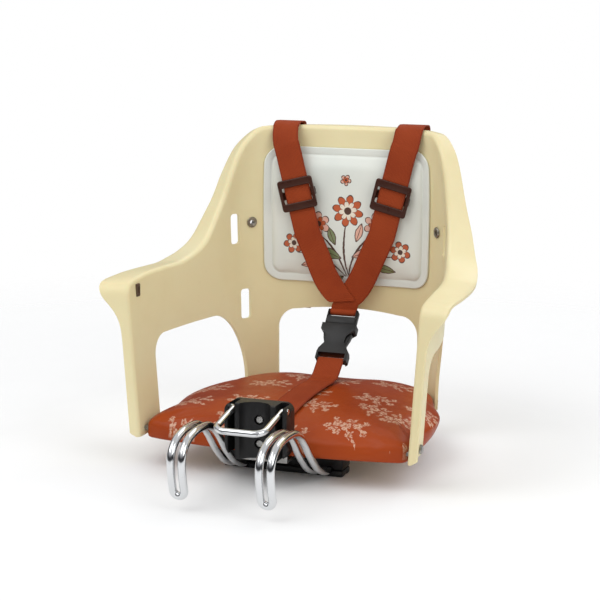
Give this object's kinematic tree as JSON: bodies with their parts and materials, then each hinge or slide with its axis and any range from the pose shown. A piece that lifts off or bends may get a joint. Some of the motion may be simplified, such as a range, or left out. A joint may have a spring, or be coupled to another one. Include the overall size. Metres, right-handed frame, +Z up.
{
  "type": "bicycle child seat",
  "caption": "Front-mounted bicycle seat for a small child: moulded shell with side windows, vinyl cushion, padded back, harness, chrome handlebar hooks, grooved stem block with a wire bail.",
  "frame": {"origin": "on the surface that the seat stands on, under the middle of the front rod clamp", "axes": "+Z up; -Y towards the handlebar, the way the seat's open front faces; +X to the right as seen from the front"},
  "size_m": [0.3062, 0.3218, 0.2786],
  "materials": {
    "shell": "satin",
    "pad_vinyl": "satin vinyl",
    "cover_vinyl": "satin vinyl",
    "webbing": "woven",
    "adjuster": "satin",
    "black_plastic": "satin",
    "chrome": "polished",
    "steel": "zinc plated",
    "eyelet": "dull",
    "plywood": "raw",
    "foam": "open cell",
    "insert": "matt"
  },
  "bodies": {
    "seat": {"seat_shell": "shell", "backrest_pad": "pad_vinyl", "seat_cover": "cover_vinyl", "seat_board": "plywood", "seat_foam": "foam", "shoulder_strap_left": "webbing", "shoulder_strap_right": "webbing", "crotch_strap": "webbing", "buckle_tongue": "black_plastic", "buckle_body": "black_plastic", "hook_rod_left": "chrome", "hook_rod_right": "chrome", "stem_block": "black_plastic", "stem_bracket": "steel", "clamp_block_front": "black_plastic", "clamp_block_rear": "black_plastic", "clamp_cap_front": "black_plastic", "clamp_cap_rear": "black_plastic", "side_eyelet_1": "eyelet", "side_eyelet_2": "eyelet", "armrest_insert_1": "insert", "armrest_insert_2": "insert", "strap_rivet_1": "steel", "strap_rivet_2": "steel", "bracket_screw_1": "steel", "bracket_screw_2": "steel", "stem_block_screw_1": "steel", "stem_block_screw_2": "steel", "clamp_screw_1": "steel", "clamp_screw_2": "steel", "clamp_screw_3": "steel", "clamp_screw_4": "steel", "clamp_screw_5": "steel", "clamp_screw_6": "steel", "clamp_screw_7": "steel", "clamp_screw_8": "steel", "leg_screw_1": "steel", "leg_screw_2": "steel", "leg_screw_3": "steel", "leg_screw_4": "steel", "leg_screw_5": "steel", "leg_screw_6": "steel", "leg_screw_7": "steel", "leg_screw_8": "steel"},
    "bail": {"stem_bail": "chrome"},
    "adjuster_left": {"strap_adjuster_left": "adjuster"},
    "adjuster_right": {"strap_adjuster_right": "adjuster"},
    "prong_left": {"buckle_prong_left": "black_plastic"},
    "prong_right": {"buckle_prong_right": "black_plastic"}
  },
  "joints": [
    {"name": "bail_pivot", "type": "hinge", "parent": "seat", "child": "bail", "pos_m": [0, -0.0645, 0.0675], "axis": [-1, 0, 0], "range_deg": [-64, 136]},
    {"name": "adjuster_left_slide", "type": "slide", "parent": "seat", "child": "adjuster_left", "axis": [-0.2419, 0, 0.9703], "range_m": [-0.018, 0.014]},
    {"name": "adjuster_right_slide", "type": "slide", "parent": "seat", "child": "adjuster_right", "axis": [0.2419, 0, 0.9703], "range_m": [-0.018, 0.014]},
    {"name": "prong_left_press", "type": "slide", "parent": "seat", "child": "prong_left", "axis": [1, 0, 0], "range_m": [0, 0.0025], "stiffness_N_per_m": 800},
    {"name": "prong_right_press", "type": "slide", "parent": "seat", "child": "prong_right", "axis": [-1, 0, 0], "range_m": [0, 0.0025], "stiffness_N_per_m": 800}
  ]
}
